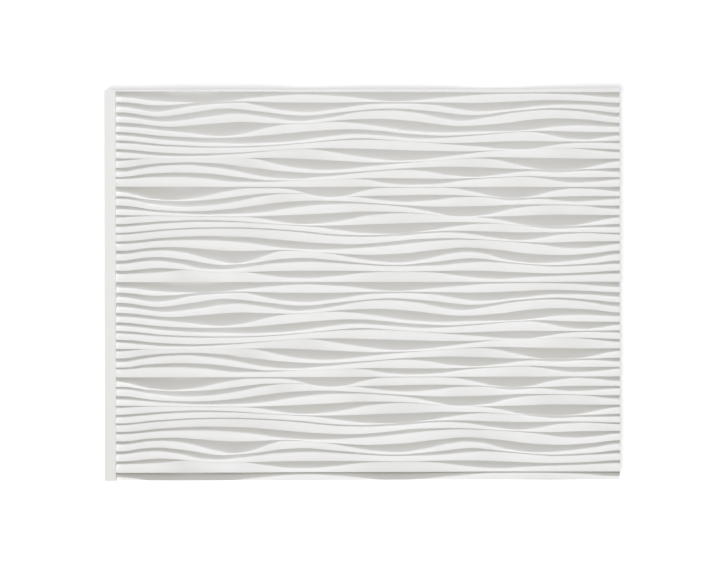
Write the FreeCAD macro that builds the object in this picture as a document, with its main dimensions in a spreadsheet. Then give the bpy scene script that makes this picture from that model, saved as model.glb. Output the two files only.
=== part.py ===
# Relief wall panel: one thermoformed plastic sheet pressed into long wavy ridges
#
# The panel lies on its back with the ridges up.  X runs along the ridges, Y across them.
# Its left side is a flat border at the height of the crests, turned down to the wall at the edge.
# The bottom strip is stepped down, so that the next panel's top edge laps over it.

import math
import os

import FreeCAD
import Part

doc = FreeCAD.newDocument("wall_panel")

# Sizes in millimetres
SIZES = [
    ("field_width", 606.0),
    ("border_width", 14.0),
    ("sheet_thickness", 0.8),
    ("repeat_height", 228.6),
    ("top_rim_left", 2.8),
    ("top_rim_right", 6.2),
    ("bottom_lap", 10.0),
    ("lap_step", 1.0),
    ("step_run", 0.4),
    ("groove_slope", 0.5),
    ("rise_length", 6.0),
    ("least_face", 0.25),
    ("crown", 1.67),
    ("rest_flat", 0.15),
]
REPEATS = 2

sizes = doc.addObject("Spreadsheet::Sheet", "sizes")
for row, (name, value) in enumerate(SIZES, start=1):
    sizes.set("A%d" % row, name)
    sizes.set("B%d" % row, str(value))
    sizes.setAlias("B%d" % row, name)
doc.recompute()

field_width = float(sizes.field_width)
border_width = float(sizes.border_width)
thickness = float(sizes.sheet_thickness)
repeat_height = float(sizes.repeat_height)
top_rim_left = float(sizes.top_rim_left)
top_rim_right = float(sizes.top_rim_right)
bottom_lap = float(sizes.bottom_lap)
lap_step = float(sizes.lap_step)
step_run = float(sizes.step_run)
groove_slope = float(sizes.groove_slope)
rise_length = float(sizes.rise_length)
least_face = float(sizes.least_face)
crown = float(sizes.crown)
rest_flat = float(sizes.rest_flat)

# Wave drawing of one repeat, 605 wide and 228.6 high
#
# Each row follows one line of the relief from left to right as (along, down) points,
# measured from the left end of the first crest.  A crest is the sharp top of a ridge,
# a valley the soft foot of the groove under it.  Ridge ends meet at the same heights,
# so panels join sideways.
DRAWN_WIDTH = 605.0
DRAWN_REPEAT = 228.6
CRESTS = [
    [(0, 0), (605, 0)],
    [(0, 12.7), (10, 12.8), (48, 16.2), (75, 15.1), (100, 12.5), (140, 11.2), (200, 12.7), (260, 12.8),
     (330, 11.5), (425, 12.8), (470, 11.6), (520, 9.6), (560, 10.7), (605, 12.7)],
    [(0, 24.8), (8, 24.9), (50, 29.7), (90, 25), (130, 19.9), (175, 24), (222, 28.3), (275, 23.7),
     (330, 19.5), (380, 23), (428, 27.5), (480, 22.1), (530, 19.1), (575, 22.2), (605, 24.8)],
    [(0, 36.9), (10, 37.1), (65, 41.8), (110, 38.7), (148, 36.4), (200, 37.9), (230, 37.3), (270, 33.7),
     (315, 32.2), (350, 34.4), (415, 40.6), (460, 37.9), (500, 33.1), (530, 31.6), (565, 33.1), (605, 36.9)],
    [(0, 48.3), (10, 48.6), (60, 53.3), (110, 54.9), (150, 54.1), (200, 50.3), (240, 46.7), (283, 44.8),
     (310, 46), (350, 49.8), (398, 52.2), (430, 50.7), (470, 47.8), (508, 46.3), (560, 47.8), (605, 48.3)],
    [(0, 58.6), (10, 58.8), (60, 63.4), (120, 65.3), (170, 64.5), (220, 61.3), (260, 57.6), (295, 55.4),
     (330, 57.5), (370, 60), (405, 61.2), (450, 59.8), (485, 58.8), (540, 59.3), (605, 58.6)],
    [(0, 69.1), (10, 69.3), (50, 72.8), (90, 74.3), (140, 73.2), (180, 70.7), (220, 68.2), (265, 67.7),
     (310, 68.7), (360, 70.3), (415, 71.3), (460, 69.7), (500, 67.9), (540, 67), (575, 67.8), (605, 69.1)],
    [(0, 80.2), (45, 80), (110, 79.7), (190, 79.6), (225, 80.6), (270, 83), (312, 84.6), (350, 83.6),
     (390, 81.4), (430, 79), (455, 78.3), (500, 79), (560, 80.1), (605, 80.2)],
    [(0, 91.6), (10, 91.4), (30, 88.5), (60, 85.7), (90, 84.9), (120, 86.1), (160, 90.7), (200, 95.4),
     (245, 97.6), (290, 95.7), (350, 91.4), (400, 89.8), (440, 90.8), (490, 92.5), (530, 92.7),
     (570, 92.4), (605, 91.6)],
    [(0, 102.5), (10, 102.2), (40, 98.6), (75, 97.1), (110, 98.3), (150, 102.9), (185, 106.3), (220, 106),
     (270, 104.5), (310, 103.5), (385, 104.2), (430, 103.2), (495, 101), (545, 102.4), (605, 102.5)],
    [(0, 114.1), (605, 114.1)],
    [(0, 125.5), (10, 125.7), (40, 129.5), (75, 131.1), (110, 129.8), (150, 125.2), (180, 122.2),
     (210, 121.6), (250, 123.3), (290, 125.3), (320, 124.7), (380, 123.6), (430, 124.9), (475, 127),
     (510, 126.7), (560, 125.2), (605, 125.5)],
    [(0, 136.7), (10, 136.9), (50, 141.8), (90, 143.3), (130, 141.4), (170, 136.3), (210, 131.8),
     (245, 130.5), (300, 133.1), (350, 136.4), (390, 137.9), (440, 137.1), (490, 135.2), (535, 135.4),
     (575, 136.5), (605, 136.7)],
    [(0, 148.2), (40, 148.5), (100, 149.3), (155, 149.6), (200, 148.4), (250, 146.1), (300, 143.9),
     (345, 144.6), (390, 148.2), (430, 150), (480, 149), (525, 147.6), (605, 148.2)],
    [(0, 159.1), (10, 158.8), (60, 155.2), (100, 153.9), (140, 155.1), (190, 158.6), (248, 160.7),
     (300, 159.3), (350, 157.7), (400, 156.4), (440, 157.1), (490, 160.2), (530, 161.4), (570, 160.4),
     (605, 159.1)],
    [(0, 169.5), (10, 169.3), (50, 165.7), (100, 163), (135, 162.7), (180, 164.2), (220, 166.9),
     (260, 170.9), (295, 172.2), (325, 171.2), (360, 168.5), (405, 166.8), (450, 168), (490, 168.8),
     (560, 168.5), (605, 169.5)],
    [(0, 179.8), (10, 179.6), (60, 175.2), (110, 173.2), (150, 174.1), (190, 177.2), (240, 181.4),
     (285, 183.2), (320, 180.8), (360, 176.9), (405, 175.9), (440, 177.4), (475, 179.6), (515, 181.2),
     (560, 180), (605, 179.8)],
    [(0, 190.9), (10, 190.9), (40, 187.6), (70, 186.6), (100, 188.4), (145, 191.3), (205, 189.9),
     (250, 193.1), (300, 195.9), (340, 194.4), (380, 190.2), (420, 187.2), (460, 190.1), (500, 194.9),
     (535, 196.3), (570, 194.4), (605, 190.9)],
    [(0, 203), (8, 202.9), (30, 199.8), (50, 198.5), (80, 201.2), (128, 207.9), (165, 205.4), (200, 200.7),
     (225, 199.6), (265, 202.9), (335, 208.1), (380, 204.6), (427, 200.1), (470, 204.5), (525, 208.5),
     (575, 205.9), (605, 203)],
    [(0, 215), (8, 215), (50, 211.6), (90, 214), (125, 216.5), (160, 216.1), (215, 214.9),
     (260, 215), (340, 215.9), (425, 214.9), (470, 216.4), (525, 218.4), (570, 217), (605, 215)],
]
VALLEYS = [
    [(0, 7), (15, 7.5), (45, 11.3), (70, 12.8), (95, 12.6), (130, 11), (165, 7.5), (225, 3.3), (265, 5),
     (335, 11), (400, 6.3), (450, 2.5), (500, 1.7), (550, 2.8), (590, 6.3), (605, 7)],
    [(0, 18.7), (10, 18.9), (48, 24.6), (70, 21.5), (90, 17.3), (120, 14.5), (152, 13), (170, 16.7),
     (200, 22.7), (228, 24.5), (270, 19.9), (305, 14.9), (345, 13.8), (375, 15), (437, 23.5), (480, 19.9),
     (530, 15.4), (565, 15.7), (605, 18.7)],
    [(0, 30.4), (8, 30.5), (58, 36.3), (100, 32), (145, 26.3), (180, 30.6), (218, 35.2), (260, 30.3),
     (295, 23.6), (325, 22.2), (360, 25.1), (390, 31.3), (414, 34.6), (450, 29.9), (485, 23.8), (520, 21.4),
     (560, 23.8), (605, 30.4)],
    [(0, 42.2), (20, 42.9), (50, 46), (80, 49), (125, 53.4), (150, 51), (180, 43.6), (205, 39.4),
     (230, 37.8), (260, 36), (280, 37), (310, 40.8), (350, 46.6), (390, 48.7), (440, 47.4),
     (475, 46.7), (505, 44.5), (530, 41.5), (558, 40.4), (605, 42.2)],
    [(0, 52.6), (20, 54), (60, 58.4), (100, 61.2), (140, 62.3), (190, 61), (220, 58.6), (250, 54.4),
     (288, 50.9), (320, 52.8), (368, 56.3), (410, 54.2), (450, 51.1), (495, 49), (515, 51), (540, 55.7),
     (563, 57.5), (585, 55.3), (605, 52.6)],
    [(0, 61.8), (20, 62.8), (60, 65.8), (115, 67.5), (150, 67), (200, 64), (240, 60.3), (275, 58.2),
     (305, 57.7), (335, 58.5), (370, 60.6), (400, 63), (430, 65.5), (470, 68.5), (490, 68.6), (510, 66.7),
     (540, 62.3), (565, 60.9), (605, 61.8)],
    [(0, 72.9), (20, 74.2), (60, 77.4), (90, 77.6), (140, 75.2), (175, 72), (200, 69.6), (225, 68.6),
     (240, 69.6), (270, 74.4), (300, 79.2), (338, 82.7), (370, 80.9), (400, 77.5), (430, 73.8), (460, 70.9),
     (500, 68.5), (545, 67.9), (575, 70.5), (605, 72.9)],
    [(0, 83.6), (20, 82), (40, 80.2), (110, 79.7), (155, 79.8), (170, 81.6), (190, 86.4), (220, 92.2),
     (250, 94.3), (280, 92.5), (310, 89), (345, 85.8), (380, 82.4), (430, 79.9), (455, 81.4),
     (475, 86), (500, 91.4), (515, 92.7), (552, 92.6), (575, 89.6), (592, 85.3), (605, 83.6)],
    [(0, 96.7), (10, 96.5), (30, 92.8), (60, 89), (82, 88), (110, 90.4), (140, 94.5), (165, 100.1),
     (190, 103.7), (215, 104.5), (250, 102.1), (290, 97.8), (345, 93.8), (370, 95.4), (400, 100.5),
     (430, 102.2), (460, 99.5), (500, 95.3), (530, 97), (570, 94.6), (605, 96.7)],
    [(0, 105.2), (15, 104.7), (40, 103), (75, 102.7), (105, 104.4), (145, 108.7), (180, 108.5),
     (210, 107.5), (240, 106.1), (280, 105.1), (300, 106.1), (325, 110.2), (355, 111.8), (390, 110.4),
     (420, 106.3), (445, 103.9), (490, 101.9), (510, 103.9), (550, 109.8), (580, 107.9), (605, 105.2)],
    [(0, 120.4), (10, 121.4), (40, 128.6), (68, 130.3), (95, 128), (130, 120.4), (160, 116.2),
     (195, 116.2), (215, 119), (240, 124.8), (256, 126.3), (275, 124.8), (300, 118.3), (320, 115.4),
     (350, 114.9), (385, 115), (405, 116), (430, 120.6), (455, 125.7), (475, 127), (495, 126.3),
     (525, 119.6), (550, 116.2), (570, 116.8), (605, 120.4)],
    [(0, 129), (10, 129.1), (40, 134.6), (80, 138.7), (115, 136.5), (150, 131), (175, 125.8),
     (205, 122.8), (250, 123.9), (285, 126), (320, 130.6), (347, 132.6), (380, 130.4), (410, 126.9),
     (440, 126.3), (475, 130.8), (508, 128.7), (550, 132.5), (580, 130.7), (605, 129)],
    [(0, 141.5), (20, 142.3), (60, 145.7), (105, 147.5), (150, 146.7), (180, 144.5), (210, 139.7),
     (245, 136), (285, 134.4), (325, 136.5), (350, 139.1), (380, 145), (405, 149.2), (420, 149.6),
     (445, 147.9), (470, 142.3), (500, 137.5), (530, 136.3), (560, 137), (590, 140.7), (605, 141.5)],
    [(0, 151.5), (25, 150), (45, 149.3), (100, 150), (150, 150.3), (170, 152), (200, 157.1),
     (225, 159.3), (250, 158), (280, 153.4), (305, 148.7), (345, 146.4), (390, 149.3), (430, 151.3),
     (460, 154), (485, 159.2), (500, 160.6), (530, 161.4), (548, 160.8), (570, 157.8), (590, 153.4), (605, 151.5)],
    [(0, 163.1), (20, 161.6), (60, 158.3), (100, 156.7), (130, 156.6), (170, 158.2), (210, 160.7),
     (240, 163), (265, 166.5), (300, 170.2), (325, 170.7), (350, 169.1), (380, 166.2), (410, 161.6),
     (440, 158.9), (465, 159.7), (490, 162.1), (530, 165.3), (560, 163.7), (605, 163.1)],
    [(0, 172.1), (10, 171.8), (50, 167.8), (100, 165), (130, 164.5), (180, 166), (220, 169),
     (265, 173.5), (295, 174.6), (340, 173.4), (370, 170.6), (395, 169.2), (420, 170.5), (450, 175.2),
     (485, 178.7), (510, 176.5), (535, 171.9), (565, 170), (590, 171.4), (605, 172.1)],
    [(0, 183.1), (10, 182.9), (60, 179), (95, 178.4), (130, 179.6), (160, 182.2), (200, 187.8),
     (245, 190), (300, 187.5), (345, 183.5), (390, 178.9), (415, 178), (445, 179.3), (480, 181.7),
     (510, 184.3), (535, 187.7), (553, 188.6), (580, 186.4), (605, 183.1)],
    [(0, 195.6), (10, 195.3), (40, 191.4), (55, 190.8), (80, 193.1), (110, 200.9), (140, 206.4),
     (160, 203.8), (180, 197.2), (200, 192.4), (220, 191.7), (250, 194), (280, 199.2), (310, 203.9),
     (340, 205.7), (370, 201.7), (400, 195), (420, 192.8), (440, 194.5), (470, 202.5), (508, 206.3),
     (540, 204.6), (575, 200.2), (605, 195.6)],
    [(0, 207.5), (10, 206.9), (45, 203.3), (75, 206.6), (105, 213), (130, 214), (155, 211.2),
     (190, 206.4), (235, 204.7), (275, 207), (340, 210.2), (385, 209.2), (415, 206.4), (445, 204.7),
     (480, 207.1), (530, 210.6), (575, 208.7), (605, 207.5)],
    [(0, 219.3), (20, 218.8), (50, 218.2), (90, 216.6), (125, 217.8), (155, 217.8), (180, 220.9),
     (205, 223.8), (230, 224.3), (260, 222.2), (300, 218.2), (350, 217.6), (380, 218.1), (410, 221.3),
     (440, 224.6), (460, 225.3), (500, 223.1), (550, 221.2), (605, 219.3)],
]
RIDGES = len(CRESTS)
STATIONS = 61
SETTLING_TURNS = 3
CROWN_PLACE = 101.0


def line_at(points, along):
    """Height of a drawn line: cubic pieces through its points, level at every turn and end."""
    last = len(points) - 1
    slopes = [0.0] * (last + 1)
    for k in range(1, last):
        before = (points[k][1] - points[k - 1][1]) / (points[k][0] - points[k - 1][0])
        after = (points[k + 1][1] - points[k][1]) / (points[k + 1][0] - points[k][0])
        if before * after > 0:
            slopes[k] = 2 * before * after / (before + after)
    k = 0
    while k < last - 1 and along > points[k + 1][0]:
        k += 1
    span = points[k + 1][0] - points[k][0]
    u = (along - points[k][0]) / span
    start = points[k][1] * (1 + 2 * u) * (1 - u) ** 2 + slopes[k] * span * u * (1 - u) ** 2
    end = points[k + 1][1] * u * u * (3 - 2 * u) + slopes[k + 1] * span * u * u * (u - 1)
    return start + end


def ridge_lines(along):
    """Places and depths of the crests and valleys of one repeat at one station of the drawing.

    Depth counts down from the level that a long rise would reach.  A groove face falls at one slope,
    so wide hollows are deep.  A rise climbs back a share of the depth that grows with its width,
    steep at first.  A few turns round the repeat settle the depths, since each end meets its start.
    """
    scale = repeat_height / DRAWN_REPEAT
    crest = [scale * line_at(points, along) for points in CRESTS]
    valley = [scale * line_at(points, along) for points in VALLEYS]
    for i in range(RIDGES):
        above = valley[i - 1] - (repeat_height if i == 0 else 0)
        crest[i] = max(crest[i], above + least_face)
        valley[i] = max(valley[i], crest[i] + least_face)
    crest_depth = [0.0] * RIDGES
    valley_depth = [0.0] * RIDGES
    depth = 0.0
    for step in range(SETTLING_TURNS * RIDGES):
        i = step % RIDGES
        crest_depth[i] = depth
        valley_depth[i] = depth + groove_slope * (valley[i] - crest[i])
        below = crest[i + 1] if i + 1 < RIDGES else crest[0] + repeat_height
        depth = valley_depth[i] * math.exp((valley[i] - below) / rise_length)
    return crest, valley, crest_depth, valley_depth


# Lines of the whole sheet, from one ridge above the first repeat to two below the last
outer_x = -0.5 * (field_width + border_width)
left_x = outer_x + border_width
top_rim = max(top_rim_left, top_rim_right)
middle = 0.5 * (REPEATS * repeat_height + bottom_lap - top_rim)
places = [DRAWN_WIDTH * k / (STATIONS - 1) for k in range(STATIONS)]
stations = [ridge_lines(along) for along in places]

# The sheet stands higher where its hollows are deep, so that it rests on hollows along its whole
# length, each cut flat by the last fraction of its depth
swell = [crown * math.cos(2 * math.pi * (along - CROWN_PLACE) / DRAWN_WIDTH) for along in places]
deepest = max(max(valley_depth) - swell[k] for k, (_, _, _, valley_depth) in enumerate(stations))
top_level = [thickness + deepest - rest_flat + height for height in swell]


def sheet_line(ridge, is_valley, step=0.0, run=0.0):
    """Points of one crest or valley along the sheet; ridges count on from repeat to repeat."""
    repeat, i = divmod(ridge, RIDGES)
    points = []
    for k, (crest, valley, crest_depth, valley_depth) in enumerate(stations):
        down = (valley if is_valley else crest)[i] + repeat * repeat_height + run
        level = max(top_level[k] - (valley_depth if is_valley else crest_depth)[i] - step, thickness)
        points.append((left_x + field_width * k / (STATIONS - 1), middle - down, level))
    return points


lines = []
for ridge in range(-1, REPEATS * RIDGES):
    lines.append(sheet_line(ridge, False))
    lines.append(sheet_line(ridge, True))
lap = REPEATS * RIDGES
lines.append(sheet_line(lap, False))
lines.append(sheet_line(lap, False, lap_step, step_run))
lines.append(sheet_line(lap, True, lap_step, step_run))
lines.append(sheet_line(lap + 1, False, lap_step, step_run))


def curve(points, lower):
    """Smooth edge through a line's points, lowered for the back of the sheet."""
    spline = Part.BSplineCurve()
    spline.interpolate([FreeCAD.Vector(x, y, z - lower) for x, y, z in points])
    return spline.toShape()


def flat_face(corners):
    return Part.Face(Part.makePolygon([FreeCAD.Vector(*c) for c in corners + corners[:1]]))


front = [curve(points, 0.0) for points in lines]
back = [curve(points, thickness) for points in lines]
faces = []
for a, b in zip(front[:-1], front[1:]):
    faces.append(Part.makeRuledSurface(a, b))
for a, b in zip(back[:-1], back[1:]):
    faces.append(Part.makeRuledSurface(a, b))
faces.append(Part.makeRuledSurface(front[0], back[0]))
faces.append(Part.makeRuledSurface(front[-1], back[-1]))
for end in (0, -1):
    upper = [points[end] for points in lines]
    lower = [(x, y, z - thickness) for x, y, z in reversed(upper)]
    faces.append(flat_face(upper + lower))
shell = Part.Shell(faces)
shell.sewShape()
solid = Part.Solid(shell)
if solid.Volume < 0:
    solid.reverse()
relief = doc.addObject("Part::Feature", "relief")
relief.Shape = solid

# End wall, where the grooves stop at the border
border_z = max(points[0][2] for points in lines)
profile = [(x, y, z - thickness) for x, y, z in (points[0] for points in lines)]
section = doc.addObject("Part::Feature", "wall_section")
section.Shape = flat_face(profile + [(left_x, profile[-1][1], border_z), (left_x, profile[0][1], border_z)])
wall = doc.addObject("Part::Extrusion", "end_wall")
wall.Base = section
wall.DirMode = "Custom"
wall.Dir = FreeCAD.Vector(-1, 0, 0)
wall.setExpression("LengthFwd", "sizes.sheet_thickness")
wall.Solid = True

formed = doc.addObject("Part::MultiFuse", "formed")
formed.Shapes = [relief, wall]

# Trimmed outline; the top cut runs a little askew to the ridges
outline = doc.addObject("Part::Feature", "trim_outline")
wall_x = left_x - thickness
right_x = left_x + field_width
bottom_y = middle - REPEATS * repeat_height - bottom_lap
outline.Shape = flat_face([
    (wall_x, middle + top_rim_left, 0),
    (right_x, middle + top_rim_right, 0),
    (right_x, bottom_y, 0),
    (wall_x, bottom_y, 0),
])
trim = doc.addObject("Part::Extrusion", "trim")
trim.Base = outline
trim.DirMode = "Custom"
trim.Dir = FreeCAD.Vector(0, 0, 1)
trim.LengthFwd = 2 * max(top_level)
trim.Solid = True
trimmed = doc.addObject("Part::MultiCommon", "trimmed")
trimmed.Shapes = [formed, trim]

# Border strip and its turned-down edge, one bent section drawn out along the panel's height
border_section = doc.addObject("Part::Feature", "border_section")
border_section.Shape = flat_face([
    (outer_x, bottom_y, 0),
    (outer_x, bottom_y, border_z),
    (left_x, bottom_y, border_z),
    (left_x, bottom_y, border_z - thickness),
    (outer_x + thickness, bottom_y, border_z - thickness),
    (outer_x + thickness, bottom_y, 0),
])
border = doc.addObject("Part::Extrusion", "border")
border.Base = border_section
border.DirMode = "Custom"
border.Dir = FreeCAD.Vector(0, 1, 0)
border.setExpression("LengthFwd", "%d * sizes.repeat_height + sizes.bottom_lap + sizes.top_rim_left" % REPEATS)
border.Solid = True

panel = doc.addObject("Part::MultiFuse", "wall_panel")
panel.Shapes = [trimmed, border]
doc.recompute()

for item in doc.Objects:
    if "Invalid" in item.State or "Error" in item.State:
        raise RuntimeError("%s did not build" % item.Name)
    if hasattr(item, "Shape") and (item.Shape.isNull() or not item.Shape.isValid()):
        raise RuntimeError("%s has no valid shape" % item.Name)
if len(panel.Shape.Solids) != 1:
    raise RuntimeError("the panel is %d solids" % len(panel.Shape.Solids))

os.makedirs("parts", exist_ok=True)
panel.Shape.exportStep("parts/wall_panel.step")
box = panel.Shape.BoundBox
print("panel %.1f x %.1f x %.2f mm" % (box.XLength, box.YLength, box.ZLength))
print("volume %.0f mm3" % panel.Shape.Volume)
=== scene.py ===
"""Relief wall panel: a white vacuum-formed sheet lying face up, seen from above."""

import math

import bmesh
import bpy
import numpy as np
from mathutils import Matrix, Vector


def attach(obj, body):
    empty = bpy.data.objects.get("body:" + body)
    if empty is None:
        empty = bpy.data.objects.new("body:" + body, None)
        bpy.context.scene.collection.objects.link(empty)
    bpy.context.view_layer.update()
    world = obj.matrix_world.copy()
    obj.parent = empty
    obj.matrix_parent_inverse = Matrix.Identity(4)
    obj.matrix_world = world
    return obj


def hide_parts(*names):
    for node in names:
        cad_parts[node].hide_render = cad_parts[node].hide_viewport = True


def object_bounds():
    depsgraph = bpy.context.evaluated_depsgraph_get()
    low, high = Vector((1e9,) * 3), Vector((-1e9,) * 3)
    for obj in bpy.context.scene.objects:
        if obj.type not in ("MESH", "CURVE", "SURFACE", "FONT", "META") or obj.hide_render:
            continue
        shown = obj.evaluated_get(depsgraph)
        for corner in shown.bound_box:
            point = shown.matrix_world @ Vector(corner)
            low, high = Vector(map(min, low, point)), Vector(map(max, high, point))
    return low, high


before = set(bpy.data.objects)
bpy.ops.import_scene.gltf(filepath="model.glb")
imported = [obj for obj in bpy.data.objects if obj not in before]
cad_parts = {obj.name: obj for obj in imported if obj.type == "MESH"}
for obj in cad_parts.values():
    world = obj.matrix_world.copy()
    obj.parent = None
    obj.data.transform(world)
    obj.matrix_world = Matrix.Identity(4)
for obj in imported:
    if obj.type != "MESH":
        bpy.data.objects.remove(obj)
cad_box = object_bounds()
scene = bpy.context.scene
scene.view_settings.view_transform = "Standard"

MM = 0.001

# Sizes of the formed sheet, in millimetres
FIELD_WIDTH = 606.0
BORDER_WIDTH = 14.0
FIELD_LEFT = 0.5 * (BORDER_WIDTH - FIELD_WIDTH)
SHEET = 0.8
REPEAT = 228.6
REPEATS = 2
TOP_RIM_LEFT = 2.0
TOP_RIM_RIGHT = 4.9
BOTTOM_LAP = 10.0
LAP_STEP = 0.9
STEP_RUN = 0.4

# Groove faces: their slope, the share that a narrow one is steeper, and the width that is narrow
GROOVE_SLOPE = 0.5
NARROW_STEEPER = 0.6
NARROW_GROOVE = 5.0

# Lit faces climb over a length.  No face is narrower than the least one, and one that is a few times
# as wide as the opening counts as whole
RISE_LENGTH = 6.0
LEAST_FACE = 0.1
OPENING = 1.0

# Four times the most that a groove face is hollow and a lit face bulges, as shares of their height
FACE_HOLLOW = 0.4
LIT_BULGE = 0.1

# Slow swell along the panel, the place of its top, and what is cut flat off the deepest hollows
CROWN = 1.67
CROWN_PLACE = 101.0
REST_FLAT = 0.15

# Grooves fall further at the two ends by these shares, which die off over a length
LEFT_DEEPER = 0.6
RIGHT_DEEPER = 0.35
END_LENGTH = 35.0

# Rows of the mesh beside a crest or a valley: each stands off it by a distance in millimetres, and by
# a share of its face at most.  One more row lies this share of the foot row's way from the valley
TURN_ROW = (0.3, 0.2)
FOOT_ROW = (1.5, 0.28)
HEEL_ROW = (1.4, 0.3)
BROW_ROW = (0.3, 0.15)
FOOT_MIDDLE = 0.4

# Rows that follow each ridge, the one on its valley, how far crests and valleys are eased, the
# stations along the panel, and the turns round the repeat after which the depths have settled
ROWS_PER_RIDGE = 9
VALLEY_ROW = 5
EDGE_EASE = 0.45
STATIONS = 119
SETTLING_TURNS = 3

# Points closer than this in metres become one, and edges that turn further than this stay sharp
MERGE_DISTANCE = 1e-6
SHARP_ANGLE = math.radians(50)

# Picture: its width and scale in pixels, the camera's sensor in millimetres, and in metres the point
# in the middle, the camera's distance from it and its step to the side, and its roll
PICTURE_WIDTH = 724
PX_PER_M = 829.8
SENSOR_WIDTH = 36.0
AIM = (-0.0008, -0.0077, 0.004)
DISTANCE = 2.3
SIDE_STEP = 0.042
ROLL = -0.001

# Studio, in metres: the floor's half width and its drop under the panel, its lift towards white near
# the panel, how far out that holds and where it is white, and the world's own light
FLOOR_HALF = 4.0
FLOOR_DROP = 0.0002
FLOOR_LIFT = 0.67
SHADOW_REACH = 0.45
WHITE_REACH = 1.2
WORLD_FILL = 0.01

# Wave drawing of one repeat, 605 wide and 228.6 high, in millimetres
#
# Each row follows one line of the relief from left to right as (along, down) points,
# measured from the left end of the first crest.  A crest is the sharp top of a ridge,
# a valley the soft foot of the groove under it.  Ridge ends meet at the same heights,
# so panels join sideways.
DRAWN_WIDTH = 605.0
CRESTS = [
    [(0, 0), (605, 0)],
    [(0, 12.7), (10, 12.8), (48, 16.2), (75, 15.1), (100, 12.5), (140, 11.2), (200, 12.7), (260, 12.8),
     (330, 11.5), (425, 12.8), (470, 11.6), (520, 9.6), (560, 10.7), (605, 12.7)],
    [(0, 24.8), (8, 24.9), (50, 29.7), (90, 25), (130, 19.9), (175, 24), (222, 28.3), (275, 23.7),
     (330, 19.5), (380, 23), (428, 27.5), (480, 22.1), (530, 19.1), (575, 22.2), (605, 24.8)],
    [(0, 36.9), (10, 37.1), (65, 41.8), (110, 38.7), (148, 36.4), (200, 37.9), (230, 37.3), (270, 33.7),
     (315, 32.2), (350, 34.4), (415, 40.6), (460, 37.9), (500, 33.1), (530, 31.6), (565, 33.1),
     (605, 36.9)],
    [(0, 48.3), (10, 48.6), (60, 53.3), (110, 54.9), (150, 54.1), (200, 50.3), (240, 46.7), (283, 44.8),
     (310, 46), (350, 49.8), (398, 52.2), (430, 50.7), (470, 47.8), (508, 46.3), (560, 47.8), (605, 48.3)],
    [(0, 58.6), (10, 58.8), (60, 63.4), (120, 65.3), (170, 64.5), (220, 61.3), (260, 57.6), (295, 55.4),
     (330, 57.5), (370, 60), (405, 61.2), (450, 59.8), (485, 58.8), (540, 59.3), (605, 58.6)],
    [(0, 69.1), (10, 69.3), (50, 72.8), (90, 74.3), (140, 73.2), (180, 70.7), (220, 68.2), (265, 67.7),
     (310, 68.7), (360, 70.3), (415, 71.3), (460, 69.7), (500, 67.9), (540, 67), (575, 67.8), (605, 69.1)],
    [(0, 80.2), (45, 80), (110, 79.7), (190, 79.6), (225, 80.6), (270, 83), (312, 84.6), (350, 83.6),
     (390, 81.4), (430, 79), (455, 78.3), (500, 79), (560, 80.1), (605, 80.2)],
    [(0, 91.6), (10, 91.4), (30, 88.5), (60, 85.7), (90, 84.9), (120, 86.1), (160, 90.7), (200, 95.4),
     (245, 97.6), (290, 95.7), (350, 91.4), (400, 89.8), (440, 90.8), (490, 92.5), (530, 92.7),
     (570, 92.4), (605, 91.6)],
    [(0, 102.5), (10, 102.2), (40, 98.6), (75, 97.1), (110, 98.3), (150, 102.9), (185, 106.3), (220, 106),
     (270, 104.5), (310, 103.5), (385, 104.2), (430, 103.2), (495, 101), (545, 102.4), (605, 102.5)],
    [(0, 114.1), (605, 114.1)],
    [(0, 125.5), (10, 125.7), (40, 129.5), (75, 131.1), (110, 129.8), (150, 125.2), (180, 122.2),
     (210, 121.6), (250, 123.3), (290, 125.3), (320, 124.7), (380, 123.6), (430, 124.9), (475, 127),
     (510, 126.7), (560, 125.2), (605, 125.5)],
    [(0, 136.7), (10, 136.9), (50, 141.8), (90, 143.3), (130, 141.4), (170, 136.3), (210, 131.8),
     (245, 130.5), (300, 133.1), (350, 136.4), (390, 137.9), (440, 137.1), (490, 135.2), (535, 135.4),
     (575, 136.5), (605, 136.7)],
    [(0, 148.2), (40, 148.5), (100, 149.3), (155, 149.6), (200, 148.4), (250, 146.1), (300, 143.9),
     (345, 144.6), (390, 148.2), (430, 150), (480, 149), (525, 147.6), (605, 148.2)],
    [(0, 159.1), (10, 158.8), (60, 155.2), (100, 153.9), (140, 155.1), (190, 158.6), (248, 160.7),
     (300, 159.3), (350, 157.7), (400, 156.4), (440, 157.1), (490, 160.2), (530, 161.4), (570, 160.4),
     (605, 159.1)],
    [(0, 169.5), (10, 169.3), (50, 165.7), (100, 163), (135, 162.7), (180, 164.2), (220, 166.9),
     (260, 170.9), (295, 172.2), (325, 171.2), (360, 168.5), (405, 166.8), (450, 168), (490, 168.8),
     (560, 168.5), (605, 169.5)],
    [(0, 179.8), (10, 179.6), (60, 175.2), (110, 173.2), (150, 174.1), (190, 177.2), (240, 181.4),
     (285, 183.2), (320, 180.8), (360, 176.9), (405, 175.9), (440, 177.4), (475, 179.6), (515, 181.2),
     (560, 180), (605, 179.8)],
    [(0, 190.9), (10, 190.9), (40, 187.6), (70, 186.6), (100, 188.4), (145, 191.3), (205, 189.9),
     (250, 193.1), (300, 195.9), (340, 194.4), (380, 190.2), (420, 187.2), (460, 190.1), (500, 194.9),
     (535, 196.3), (570, 194.4), (605, 190.9)],
    [(0, 203), (8, 202.9), (30, 199.8), (50, 198.5), (80, 201.2), (128, 207.9), (165, 205.4), (200, 200.7),
     (225, 199.6), (265, 202.9), (335, 208.1), (380, 204.6), (427, 200.1), (470, 204.5), (525, 208.5),
     (575, 205.9), (605, 203)],
    [(0, 215), (8, 215), (50, 211.6), (90, 214), (125, 216.5), (160, 216.1), (215, 214.9),
     (260, 215), (340, 215.9), (425, 214.9), (470, 216.4), (525, 218.4), (570, 217), (605, 215)],
]
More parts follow.
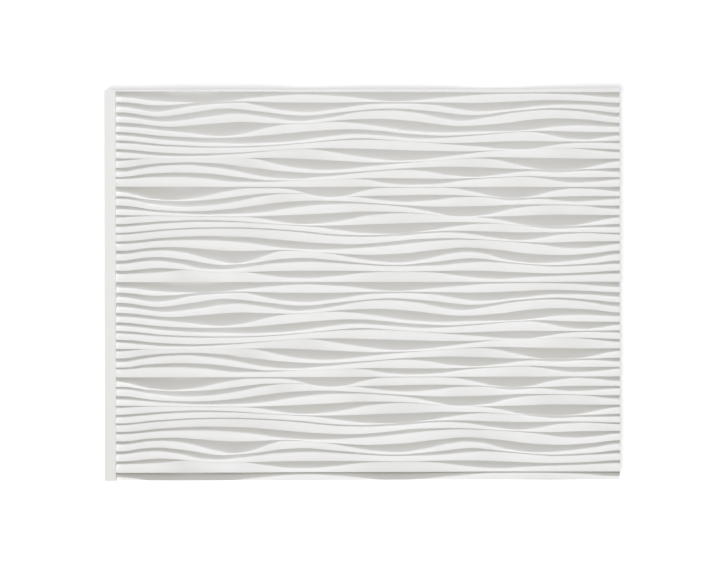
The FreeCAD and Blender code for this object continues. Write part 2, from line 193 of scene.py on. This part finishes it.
VALLEYS = [
    [(0, 7), (15, 7.5), (45, 11.3), (70, 12.8), (95, 12.6), (130, 11), (165, 7.5), (225, 3.3), (265, 5),
     (335, 11), (400, 6.3), (450, 2.5), (500, 1.7), (550, 2.8), (590, 6.3), (605, 7)],
    [(0, 18.7), (10, 18.9), (48, 24.6), (70, 21.5), (90, 17.3), (120, 14.5), (152, 13), (170, 16.7),
     (200, 22.7), (228, 24.5), (270, 19.9), (305, 14.9), (345, 13.8), (375, 15), (437, 23.5), (480, 19.9),
     (530, 15.4), (565, 15.7), (605, 18.7)],
    [(0, 30.4), (8, 30.5), (58, 36.3), (100, 32), (145, 26.3), (180, 30.6), (218, 35.2), (260, 30.3),
     (295, 23.6), (325, 22.2), (360, 25.1), (390, 31.3), (414, 34.6), (450, 29.9), (485, 23.8), (520, 21.4),
     (560, 23.8), (605, 30.4)],
    [(0, 42.2), (20, 42.9), (50, 46), (80, 49), (125, 53.4), (150, 51), (180, 43.6), (205, 38.9),
     (230, 37.6), (260, 36), (280, 37), (310, 40.8), (350, 46.6), (390, 48.7), (440, 47.4),
     (475, 46.7), (505, 44.5), (530, 41.5), (558, 40.4), (605, 42.2)],
    [(0, 52.6), (20, 54), (60, 58.4), (100, 61.2), (140, 62.3), (190, 61), (220, 58.6), (250, 54.4),
     (288, 50.9), (320, 52.8), (368, 56.3), (410, 54.2), (450, 50.8), (475, 48.4), (495, 47.6),
     (515, 50.2), (540, 55.7), (563, 57.5), (585, 55.3), (605, 52.6)],
    [(0, 61.8), (20, 62.8), (60, 65.8), (115, 67.5), (150, 67), (200, 64.3), (240, 60.5), (275, 58.2),
     (305, 57.7), (335, 58.5), (370, 60.6), (400, 63), (430, 65.5), (470, 68.5), (490, 68.6), (510, 66.7),
     (540, 62.3), (565, 60.9), (605, 61.8)],
    [(0, 72.9), (20, 74.2), (60, 77.4), (90, 77.6), (140, 75.2), (175, 72), (200, 69.6), (225, 68.6),
     (240, 69.6), (270, 74.4), (300, 79.2), (338, 82.7), (370, 80.9), (400, 77.5), (430, 73.4), (455, 70.4),
     (500, 68.1), (540, 67.3), (575, 70.3), (605, 72.9)],
    [(0, 83.6), (20, 82), (40, 80.2), (110, 79.7), (155, 79.8), (170, 81.6), (190, 86.4), (220, 92.2),
     (250, 94.3), (280, 92.5), (310, 89), (345, 85.8), (380, 82.4), (430, 79.9), (455, 81.4),
     (475, 86), (500, 91.4), (515, 92.7), (552, 92.6), (575, 89.6), (592, 85.3), (605, 83.6)],
    [(0, 96.7), (10, 96.5), (30, 92.8), (60, 89), (82, 88), (110, 90.4), (140, 94.5), (165, 100.1),
     (190, 103.7), (215, 104.5), (250, 102.1), (290, 97.8), (345, 93.8), (370, 95.4), (400, 100.5),
     (430, 102.2), (460, 99.5), (500, 95.3), (530, 97), (570, 94.6), (605, 96.7)],
    [(0, 105.2), (15, 104.7), (40, 103), (75, 102.7), (105, 104.4), (145, 108.7), (180, 108.3),
     (210, 106.8), (240, 105.7), (280, 104.5), (300, 105.6), (325, 110.2), (355, 111.8), (390, 110.4),
     (420, 106.3), (445, 103.9), (490, 101.9), (510, 103.9), (550, 109.8), (580, 107.9), (605, 105.2)],
    [(0, 120.4), (10, 121.4), (40, 128.6), (68, 130.3), (95, 128), (130, 120.4), (160, 116.2),
     (195, 116.2), (215, 119), (240, 124.8), (256, 126.3), (275, 124.8), (300, 118.3), (320, 115.4),
     (350, 114.9), (385, 115), (405, 116), (430, 120.6), (455, 125.7), (475, 127), (495, 126.3),
     (525, 119.6), (550, 116.2), (570, 116.8), (605, 120.4)],
    [(0, 129), (10, 129.1), (40, 134.6), (80, 138.7), (115, 136.5), (150, 131), (175, 125.8),
     (205, 122.3), (250, 123.6), (285, 125.8), (320, 130.6), (347, 132.6), (380, 130.4), (410, 126.9),
     (440, 126.3), (475, 130.8), (508, 128.7), (550, 132.5), (580, 130.7), (605, 129)],
    [(0, 141.5), (20, 142.3), (60, 145.7), (105, 147.5), (150, 146.7), (180, 144.5), (210, 139.7),
     (245, 136), (285, 134.4), (325, 136.5), (350, 139.1), (380, 145), (405, 149.2), (420, 149.6),
     (445, 147.9), (470, 142.3), (500, 137.5), (530, 136.3), (560, 137), (590, 140.7), (605, 141.5)],
    [(0, 151.5), (25, 150), (45, 149.3), (100, 150), (150, 150.3), (170, 152), (200, 157.1),
     (225, 159.3), (250, 158), (280, 153.4), (305, 148.5), (345, 145.8), (390, 148.5), (430, 150.3),
     (460, 154), (485, 159.2), (500, 160.6), (530, 161.4), (548, 160.8), (570, 157.8), (590, 153.4),
     (605, 151.5)],
    [(0, 163.1), (20, 161.6), (60, 158.3), (100, 156.7), (130, 156.6), (170, 158.2), (210, 160.7),
     (240, 163), (265, 166.5), (300, 170.2), (325, 170.7), (350, 169.1), (380, 166.2), (410, 161.6),
     (440, 158.4), (465, 159), (487, 160.8), (505, 163), (530, 165.3), (560, 163.7), (605, 163.1)],
    [(0, 172.1), (10, 171.8), (50, 167.8), (100, 165), (130, 164.5), (180, 166), (220, 169),
     (265, 173.5), (295, 174.6), (340, 173.4), (370, 170.6), (395, 169.2), (420, 170.5), (450, 175.2),
     (485, 178.7), (510, 176.5), (535, 171.9), (565, 170), (590, 171.4), (605, 172.1)],
    [(0, 183.1), (10, 182.9), (60, 179), (95, 178.4), (130, 179.6), (160, 182.2), (200, 187.8),
     (245, 190), (300, 187.5), (345, 183.5), (390, 178.9), (415, 178), (445, 178.6), (480, 181),
     (510, 183.8), (535, 187.7), (553, 188.6), (580, 186.4), (605, 183.1)],
    [(0, 195.6), (10, 195.3), (40, 191.4), (55, 190.8), (80, 193.1), (110, 200.9), (140, 206.4),
     (160, 203.8), (180, 196.7), (200, 191.3), (220, 191), (250, 193.5), (280, 198.9), (310, 203.9),
     (340, 205.7), (370, 201.7), (400, 195), (420, 192.8), (440, 194.5), (470, 202.5), (508, 206.3),
     (540, 204.6), (575, 200.2), (605, 195.6)],
    [(0, 207.5), (10, 206.9), (45, 203.3), (75, 206.6), (105, 213), (130, 214), (155, 211.2),
     (190, 206.4), (235, 204.7), (275, 207), (340, 210.2), (385, 209.2), (415, 206.4), (445, 204.7),
     (480, 207.1), (530, 210.6), (575, 208.7), (605, 207.5)],
    [(0, 219.3), (20, 218.8), (50, 217.6), (85, 214.1), (125, 216.8), (150, 216.6), (180, 220.6),
     (205, 223.8), (230, 224.3), (260, 222.2), (300, 217.6), (325, 216.6), (350, 216.5), (380, 217.5),
     (410, 221.3), (440, 224.6), (460, 225.3), (500, 223.1), (550, 221.2), (605, 219.3)],
]
RIDGES = len(CRESTS)


def drawn_line(points, along):
    """A drawn line's height at every station: cubic Hermite pieces through its points, whose slope
    at a point is the harmonic mean of the chords beside it, and nought at a turn or an end."""
    x, y = np.array(points, float).T
    chord = np.diff(y) / np.diff(x)
    slope = np.zeros(len(x))
    same_way = chord[:-1] * chord[1:] > 0
    both = np.where(same_way, chord[:-1] + chord[1:], 1.0)
    slope[1:-1] = np.where(same_way, 2 * chord[:-1] * chord[1:] / both, 0.0)
    k = np.clip(np.searchsorted(x, along) - 1, 0, len(x) - 2)
    span = x[k + 1] - x[k]
    u = (along - x[k]) / span
    start = y[k] * (1 + 2 * u) * (1 - u) ** 2 + slope[k] * span * u * (1 - u) ** 2
    end = y[k + 1] * u * u * (3 - 2 * u) + slope[k + 1] * span * u * u * (u - 1)
    return start + end


def openness(width):
    """How far a face has opened: nought where it has run out and one where it is wide, by one less a
    bell curve of its width."""
    return 1 - np.exp(-(width / OPENING) ** 2)


def ridge_lines(along):
    """Places and levels of every crest and valley of one repeat at the stations along the panel.

    Depth counts down from the level that a long rise would reach.  Every groove face falls at one
    slope, narrow ones a little steeper by a bell curve of their width, so wide hollows are deep: the
    depth grows by slope times width.  A rise climbs back steeply at first: over it the depth shrinks
    by a falling exponential of its width.  A groove or a ridge that runs out leaves no step, and the
    grooves on both sides of such a ridge fall as one.  A few turns round the repeat settle the depths.

    The sheet stands higher by a cosine where its hollows are deep, so that hollows all along it rest
    on the wall, each cut flat by the last fraction of its depth.  Towards both ends the grooves fall
    further, by a share that dies off exponentially."""
    crest = [drawn_line(points, along) for points in CRESTS]
    valley = [drawn_line(points, along) for points in VALLEYS]
    for i in range(RIDGES):
        above = valley[i - 1] - (REPEAT if i == 0 else 0)
        crest[i] = np.maximum(crest[i], above + LEAST_FACE)
        valley[i] = np.maximum(valley[i], crest[i] + LEAST_FACE)
    lit_width = [crest[i] - valley[i - 1] + (REPEAT if i == 0 else 0) for i in range(RIDGES)]
    ridge_open = [openness(width) for width in lit_width]
    depth = np.zeros(len(along))
    crest_depth = [depth] * RIDGES
    valley_depth = [depth] * RIDGES
    for step in range(SETTLING_TURNS * RIDGES):
        i = step % RIDGES
        crest_depth[i] = depth
        width = valley[i] - crest[i]
        narrow = ridge_open[i] * np.exp(-(width / NARROW_GROOVE) ** 2)
        slope = GROOVE_SLOPE * (1 + NARROW_STEEPER * narrow)
        valley_depth[i] = depth + slope * (width - LEAST_FACE)
        below = crest[i + 1] if i + 1 < RIDGES else crest[0] + REPEAT
        depth = valley_depth[i] * np.exp((valley[i] + LEAST_FACE - below) / RISE_LENGTH)
    swell = CROWN * np.cos(2 * np.pi * (along - CROWN_PLACE) / DRAWN_WIDTH)
    top_level = SHEET - REST_FLAT + swell + np.max(np.max(valley_depth, axis=0) - swell)
    deeper = LEFT_DEEPER * np.exp(-along / END_LENGTH)
    deeper += RIGHT_DEEPER * np.exp((along - DRAWN_WIDTH) / END_LENGTH)
    crest_z = [top_level - high for high in crest_depth]
    valley_z = [top_level - low - deeper * (low - high)
                for high, low in zip(crest_depth, valley_depth)]
    valley_z = np.maximum(valley_z, SHEET)
    return crest, valley, crest_z, valley_z, ridge_open


def row_share(row, face):
    """Where a row lies on a face: its distance over the width of the face, and its largest share at
    most."""
    distance, most = row
    return np.minimum(distance / face, most)


def profile_rows(along):
    """Rows of the ridged face as two arrays, place down the panel and level, at every station, and the
    border's level.

    Nine rows follow each ridge: its crest, the turn under it, the groove face's middle, three down to
    the valley and three up the lit face.  A parabola makes the groove faces hollow and the lit faces
    bulge, less beside a ridge or a groove that runs out.  Crest and valley rows are eased towards the
    straight line between their neighbours, which rounds the formed edge.  Past the last crest the
    sheet steps down for the lap."""
    crest, valley, crest_z, valley_z, ridge_open = ridge_lines(along)
    groove_open = [openness(low - top) for top, low in zip(crest, valley)]
    down = []
    level = []
    for ridge in range(-1, REPEATS * RIDGES + 2):
        repeat, i = divmod(ridge, RIDGES)
        after = (i + 1) % RIDGES
        top = crest[i] + repeat * REPEAT
        low = valley[i] + repeat * REPEAT
        next_top = crest[after] + (repeat + (1 if after == 0 else 0)) * REPEAT
        groove = low - top
        lit = next_top - low
        drop = crest_z[i] - valley_z[i]
        rise = crest_z[after] - valley_z[i]
        turn = row_share(TURN_ROW, groove)
        foot = row_share(FOOT_ROW, groove)
        heel = row_share(HEEL_ROW, lit)
        brow = row_share(BROW_ROW, lit)
        middle = 0.5 * (1 + turn - foot)
        for u in (0 * turn, turn, middle, 1 - foot, 1 - FOOT_MIDDLE * foot, 1 + 0 * turn):
            down.append(top + u * groove)
            hollow = FACE_HOLLOW * u * (1 - u) * (ridge_open[i] * (1 - u) + ridge_open[after] * u)
            level.append(crest_z[i] - drop * (u + hollow))
        for u in (heel, 0.5 + 0 * heel, 1 - brow):
            down.append(low + u * lit)
            bulge = LIT_BULGE * u * (1 - u) * (groove_open[i] * (1 - u) + groove_open[after] * u)
            level.append(valley_z[i] + rise * (u + bulge))
    down = np.array(down)
    level = np.array(level)
    eased = level.copy()
    for edge_row in (0, VALLEY_ROW):
        k = np.arange(edge_row, len(level), ROWS_PER_RIDGE)
        k = k[(k > 0) & (k < len(level) - 1)]
        before = (down[k] - down[k - 1]) / (down[k + 1] - down[k - 1])
        straight = level[k - 1] + (level[k + 1] - level[k - 1]) * before
        eased[k] = level[k] + EDGE_EASE * (straight - level[k])
    eased -= LAP_STEP * np.clip((down - REPEATS * REPEAT) / STEP_RUN, 0.0, 1.0)
    highest = cad_box[1][2] / MM
    return down, np.clip(eased, SHEET, highest), np.max([z[0] for z in crest_z])


def sheet_faces(rows, cols):
    """Faces of a closed sheet whose points are two like grids, face and then back: quads over the
    face, the same ones turned round over the back, and a band of quads round the rim."""
    grid = np.arange(rows * cols).reshape(rows, cols)
    corners = [grid[:-1, :-1], grid[1:, :-1], grid[1:, 1:], grid[:-1, 1:]]
    quads = np.stack(corners, axis=-1).reshape(-1, 4)
    under = quads[:, ::-1] + rows * cols
    ring = np.concatenate([grid[0, :-1], grid[:-1, -1], grid[-1, :0:-1], grid[:0:-1, 0]])
    after = np.roll(ring, -1)
    rim = np.stack([ring, after, after + rows * cols, ring + rows * cols], axis=-1)
    return np.concatenate([quads, under, rim])


def formed_sheet(name):
    """The panel as one closed sheet: its face is one grid of rows and stations, from the turned-down
    edge over the border and down the end wall into the ridges.  The back is a like grid, one sheet
    thickness behind it, and the cut edges join the two.  Rows past a trimmed edge are drawn in to it."""
    along = np.linspace(0.0, DRAWN_WIDTH, STATIONS)
    down, level, border_level = profile_rows(along)
    top_edge = -(TOP_RIM_LEFT + (TOP_RIM_RIGHT - TOP_RIM_LEFT) * along / DRAWN_WIDTH)
    bottom_edge = REPEATS * REPEAT + BOTTOM_LAP
    cut = np.clip(down, top_edge, bottom_edge)
    cut_level = [np.interp(cut[:, k], down[:, k], level[:, k]) for k in range(STATIONS)]
    cut_level = np.stack(cut_level, axis=1)
    rows = len(cut)
    # Stations left of the ridges, and how far each has climbed the end wall to the border
    climb = np.array([1.0, 1.0, 1.0, 0.985, 0.93, 0.05])
    face_left = np.array([-BORDER_WIDTH, -0.5 * BORDER_WIDTH, -1.0, -0.5, -0.2, -0.04])
    back_left = np.array([SHEET - BORDER_WIDTH, -0.5 * BORDER_WIDTH, -1.3, -1.0, -0.82, -0.78])
    left_level = cut_level[:, :1] + (border_level - cut_level[:, :1]) * climb
    left_down = np.repeat(cut[:, :1], len(climb) + 1, axis=1)
    foot = np.zeros((rows, 1))
    field_x = along * FIELD_WIDTH / DRAWN_WIDTH
    face_x = FIELD_LEFT + np.concatenate([face_left[:1], face_left, field_x])
    back_x = FIELD_LEFT + np.concatenate([back_left[:1], back_left, field_x])
    face_z = np.concatenate([foot, left_level, cut_level], axis=1)
    back_z = np.concatenate([foot, left_level - SHEET, cut_level - SHEET], axis=1)
    bottom_y = cad_box[0][1] / MM
    y = bottom_y + bottom_edge - np.concatenate([left_down, cut], axis=1)
    face = np.stack([np.broadcast_to(face_x, y.shape), y, face_z], axis=-1).reshape(-1, 3)
    back = np.stack([np.broadcast_to(back_x, y.shape), y, back_z], axis=-1).reshape(-1, 3)
    points = np.concatenate([face, back]) * MM
    mesh = bpy.data.meshes.new(name)
    mesh.from_pydata(points.tolist(), [], sheet_faces(*y.shape).tolist())
    work = bmesh.new()
    work.from_mesh(mesh)
    bmesh.ops.remove_doubles(work, verts=work.verts, dist=MERGE_DISTANCE)
    bmesh.ops.dissolve_degenerate(work, edges=work.edges, dist=MERGE_DISTANCE)
    work.to_mesh(mesh)
    work.free()
    mesh.validate()
    mesh.shade_smooth()
    mesh.set_sharp_from_angle(angle=SHARP_ANGLE)
    piece = bpy.data.objects.new(name, mesh)
    scene.collection.objects.link(piece)
    return piece


def colour(code):
    """An sRGB hex colour as linear RGBA."""
    parts = [int(code[k:k + 2], 16) / 255 for k in (1, 3, 5)]
    linear = [c / 12.92 if c <= 0.04045 else ((c + 0.055) / 1.055) ** 2.4 for c in parts]
    return (*linear, 1.0)


def node(tree, kind, settings=None, links=None, **values):
    """Adds a node, sets its properties and inputs, and links its inputs from other nodes' outputs."""
    made = tree.nodes.new(kind)
    for key, value in (settings or {}).items():
        setattr(made, key, value)
    for key, value in values.items():
        made.inputs[key.replace("_", " ")].default_value = value
    for key, output in (links or {}).items():
        tree.links.new(output, made.inputs[key])
    return made


def vacuum_formed_pvc():
    """Rigid PVC sheet, calendered and then vacuum formed: an even white with a soft satin sheen and a
    faint grain.  The flat border is painted a fuller white than the ridged field: painted light, standing
    in for the brighter light the border shows."""
    cloud_size = 70 * MM
    # Grain of about 0.4 mm is drawn at 1.6 mm, because it is finer than a pixel of the picture
    grain_size = 1.6 * MM
    # The border's painted lighter white gives way to the field's own tone from the brow of the end wall on
    painted_border_fade_start = (FIELD_LEFT - 1.5) * MM
    painted_border_fade_end = (FIELD_LEFT + 0.5) * MM
    material = bpy.data.materials.new("vacuum_formed_white_pvc")
    material.use_nodes = True
    tree = material.node_tree
    shader = tree.nodes["Principled BSDF"]
    shader.inputs["IOR"].default_value = 1.53
    shader.inputs["Specular IOR Level"].default_value = 0.3
    place = node(tree, "ShaderNodeTexCoord")
    cloud = node(tree, "ShaderNodeTexNoise", links={"Vector": place.outputs["Object"]},
                 Scale=1 / cloud_size, Detail=3.0)
    relief_tone = node(tree, "ShaderNodeValToRGB", links={"Fac": cloud.outputs["Fac"]})
    relief_tone.color_ramp.elements[0].color = colour("#E8E8E7")
    relief_tone.color_ramp.elements[1].color = colour("#EBEBEB")
    axes = node(tree, "ShaderNodeSeparateXYZ", links={"Vector": place.outputs["Object"]})
    # Share of the field's own tone against the border's painted lighter white, by place across the panel
    painted_border_fade = node(tree, "ShaderNodeMapRange", links={"Value": axes.outputs["X"]},
                     From_Min=painted_border_fade_start, From_Max=painted_border_fade_end)
    # Base colour: the border is painted a fuller white than the field, painted light for the brighter light
    # it shows; the field keeps its random tone
    white = node(tree, "ShaderNodeMix", {"data_type": "RGBA"},
                 {"Factor": painted_border_fade.outputs["Result"], "B": relief_tone.outputs["Color"]},
                 A=colour("#F5F5F4"))
    tree.links.new(white.outputs["Result"], shader.inputs["Base Color"])
    sheen = node(tree, "ShaderNodeMapRange", links={"Value": cloud.outputs["Fac"]},
                 To_Min=0.5, To_Max=0.6)
    tree.links.new(sheen.outputs["Result"], shader.inputs["Roughness"])
    grain = node(tree, "ShaderNodeTexNoise", links={"Vector": place.outputs["Object"]},
                 Scale=1 / grain_size, Detail=2.0)
    bump = node(tree, "ShaderNodeBump", links={"Height": grain.outputs["Fac"]},
                Strength=0.06, Distance=0.2 * MM)
    tree.links.new(bump.outputs["Normal"], shader.inputs["Normal"])
    return material


def seen_rays(tree):
    """One for a ray from the camera, a reflection or a view through glass, nought for lighting."""
    rays = node(tree, "ShaderNodeLightPath")
    seen = rays.outputs["Is Camera Ray"]
    for kind in ("Is Glossy Ray", "Is Transmission Ray"):
        either = node(tree, "ShaderNodeMath", {"operation": "MAXIMUM"}, {0: seen, 1: rays.outputs[kind]})
        seen = either.outputs["Value"]
    return seen


def studio_paper():
    """Matt white floor paper.  The camera and reflections see it lifted most of the way to white near
    the panel, where the shadow falls, and all the way further out."""
    material = bpy.data.materials.new("white_studio_floor")
    material.use_nodes = True
    tree = material.node_tree
    shader = tree.nodes["Principled BSDF"]
    shader.inputs["Base Color"].default_value = colour("#F4F4F4")
    shader.inputs["Roughness"].default_value = 0.9
    shader.inputs["Emission Color"].default_value = (1, 1, 1, 1)
    place = node(tree, "ShaderNodeTexCoord")
    away = node(tree, "ShaderNodeVectorMath", {"operation": "LENGTH"}, {0: place.outputs["Object"]})
    lift = node(tree, "ShaderNodeMapRange", links={"Value": away.outputs["Value"]},
                From_Min=SHADOW_REACH, From_Max=WHITE_REACH, To_Min=FLOOR_LIFT, To_Max=1.0)
    shown = node(tree, "ShaderNodeMath", {"operation": "MULTIPLY"},
                 {0: seen_rays(tree), 1: lift.outputs["Result"]})
    tree.links.new(shown.outputs["Value"], shader.inputs["Emission Strength"])
    return material


def soft_lamp(name, lit, size, watts, tint, place):
    """A round area lamp at a place, aimed at the panel's middle, that lights one object alone."""
    data = bpy.data.lights.new(name, "AREA")
    data.shape = "DISK"
    data.size = size
    data.energy = watts
    data.color = tint
    lamp = bpy.data.objects.new(name, data)
    lamp.location = place
    lamp.rotation_euler = Vector(place).to_track_quat("Z", "Y").to_euler()
    scene.collection.objects.link(lamp)
    lit_alone = bpy.data.collections.new(name + "_lights")
    lit_alone.objects.link(lit)
    lamp.light_linking.receiver_collection = lit_alone


# Camera above the panel, almost straight, with the panel's top edge up in the picture
camera = bpy.data.objects.new("camera", bpy.data.cameras.new("camera"))
scene.collection.objects.link(camera)
scene.camera = camera
camera.data.sensor_width = SENSOR_WIDTH
camera.data.lens = SENSOR_WIDTH * DISTANCE * PX_PER_M / PICTURE_WIDTH
camera.location = (AIM[0] - SIDE_STEP, AIM[1], AIM[2] + DISTANCE)
camera.rotation_euler = (0.0, -math.atan2(SIDE_STEP, DISTANCE), ROLL)

# Panel
panel = formed_sheet("formed_panel")
panel.data.materials.append(vacuum_formed_pvc())
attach(panel, "root")
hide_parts("wall_panel")

# White floor under the panel
floor_mesh = bpy.data.meshes.new("floor")
floor_corners = [(x * FLOOR_HALF, y * FLOOR_HALF, 0.0) for x, y in ((-1, -1), (1, -1), (1, 1), (-1, 1))]
floor_mesh.from_pydata(floor_corners, [], [(0, 1, 2, 3)])
floor_mesh.materials.append(studio_paper())
floor = bpy.data.objects.new("floor", floor_mesh)
floor.location.z = -FLOOR_DROP
scene.collection.objects.link(floor)

# World: white as the camera and reflections see it, and almost no light of its own
world = bpy.data.worlds.new("studio")
scene.world = world
world.use_nodes = True
tree = world.node_tree
backdrop = tree.nodes["Background"]
backdrop.inputs["Color"].default_value = (1, 1, 1, 1)
glow = node(tree, "ShaderNodeMapRange", links={"Value": seen_rays(tree)}, To_Min=WORLD_FILL)
tree.links.new(glow.outputs["Result"], backdrop.inputs["Strength"])

# Soft key beyond the panel's top edge, a near lamp overhead that lights the upper grooves more than
# the lower ones, a low warm bounce from the foot that reaches the groove faces, and a wide lamp at
# the lower left for the floor alone
WHITE = (1.0, 1.0, 1.0)
WARM = (1.0, 0.72, 0.0)
soft_lamp("key", panel, size=5.2, watts=2690.0, tint=WHITE, place=(0.0, 11.4, 16.45))
soft_lamp("overhead", panel, size=1.0, watts=7.4, tint=WHITE, place=(0.0, 0.08, 1.5))
soft_lamp("bounce", panel, size=6.0, watts=100.0, tint=WARM, place=(0.0, -13.0, 4.7))
soft_lamp("floor_light", floor, size=5.0, watts=215.0, tint=WHITE, place=(-2.0, -2.4, 2.8))
